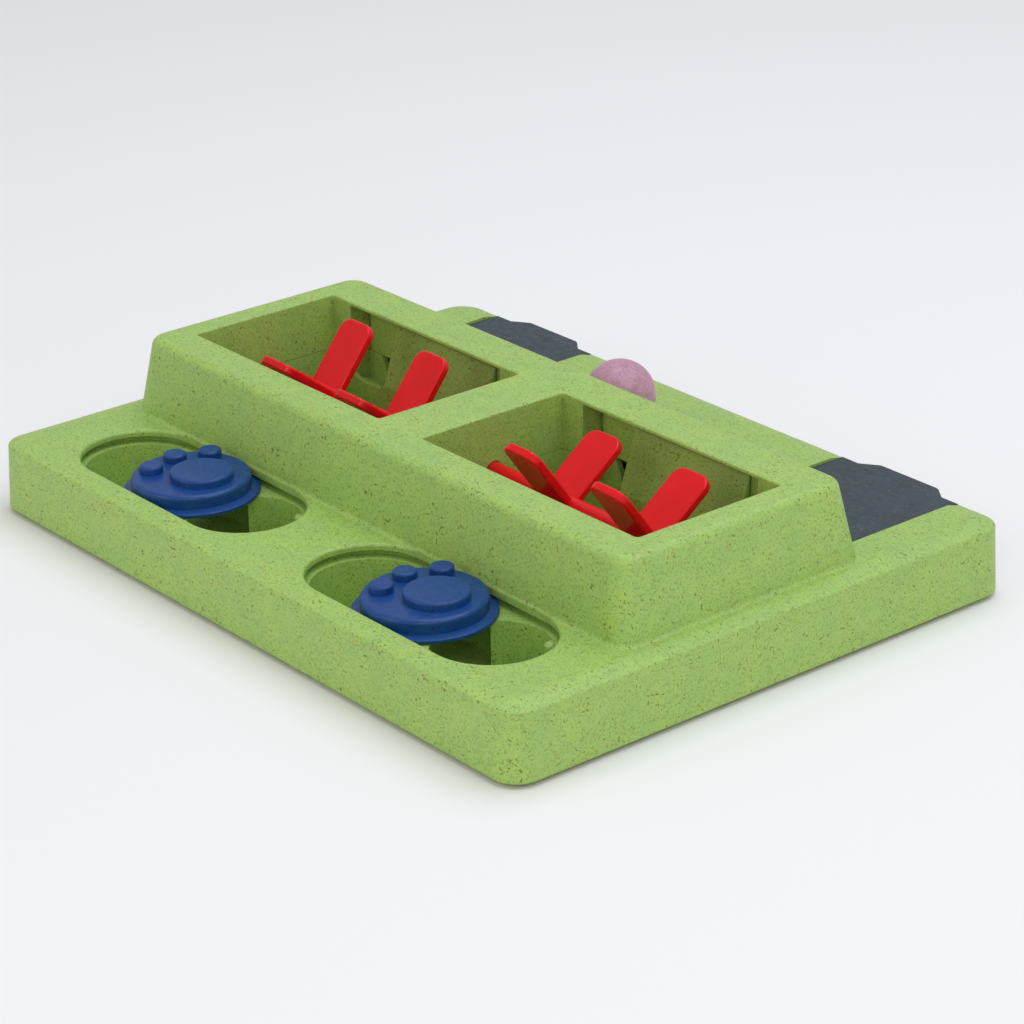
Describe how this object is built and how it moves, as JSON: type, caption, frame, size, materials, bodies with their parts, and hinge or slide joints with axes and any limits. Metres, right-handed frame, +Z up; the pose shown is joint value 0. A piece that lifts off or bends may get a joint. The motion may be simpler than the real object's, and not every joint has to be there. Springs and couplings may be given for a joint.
{
  "type": "dog puzzle feeder toy",
  "caption": "Free-standing treat puzzle for dogs: board with paw sliders over cups, paddle rotors in open wells, hinged lids over bins and a lift-out ball peg.",
  "frame": {"origin": "centre of the base outline, at the level the rubber feet stand on", "axes": "+X along the front edge with the sliders, left to right; +Y from the sliders towards the hinged lids; +Z up"},
  "size_m": [0.3032, 0.2303, 0.0612],
  "materials": {
    "green_composite": "satin speckled plant-fibre plastic",
    "blue_composite": "satin speckled plant-fibre plastic",
    "pink_composite": "satin speckled plant-fibre plastic",
    "red_plastic": "glossy",
    "slate_plastic": "finely brushed matte",
    "screw_steel": "zinc plated",
    "foot_rubber": "matte"
  },
  "bodies": {
    "board": {"top_shell": "green_composite", "base_tray": "green_composite", "base_screws": "screw_steel", "front_left_foot": "foot_rubber", "front_right_foot": "foot_rubber", "rear_left_foot": "foot_rubber", "rear_right_foot": "foot_rubber"},
    "left_slider": {"left_paw_slider": "blue_composite"},
    "right_slider": {"right_paw_slider": "blue_composite"},
    "left_rotor": {"left_paddle_rotor": "red_plastic"},
    "right_rotor": {"right_paddle_rotor": "red_plastic"},
    "left_lid": {"left_flap_lid": "slate_plastic"},
    "right_lid": {"right_flap_lid": "slate_plastic"},
    "peg": {"ball_peg": "pink_composite"}
  },
  "joints": [
    {"name": "left_slide", "type": "slide", "parent": "board", "child": "left_slider", "axis": [1, 0, 0], "range_m": [-0.03265, 0.03305]},
    {"name": "right_slide", "type": "slide", "parent": "board", "child": "right_slider", "axis": [1, 0, 0], "range_m": [-0.03045, 0.03525]},
    {"name": "left_spin", "type": "hinge", "parent": "board", "child": "left_rotor", "pos_m": [-0.06885, -0.00576, 0.0364], "axis": [1, 0, 0], "continuous": true},
    {"name": "right_spin", "type": "hinge", "parent": "board", "child": "right_rotor", "pos_m": [0.06885, -0.00576, 0.0364], "axis": [1, 0, 0], "continuous": true},
    {"name": "left_lid_hinge", "type": "hinge", "parent": "board", "child": "left_lid", "pos_m": [-0.0993, 0.056, 0.0253], "axis": [1, 0, 0], "range_deg": [0, 96]},
    {"name": "right_lid_hinge", "type": "hinge", "parent": "board", "child": "right_lid", "pos_m": [0.0993, 0.056, 0.0253], "axis": [1, 0, 0], "range_deg": [0, 96]},
    {"name": "peg_lift", "type": "slide", "parent": "board", "child": "peg", "axis": [0, 0, 1], "range_m": [0, 0.03]}
  ]
}
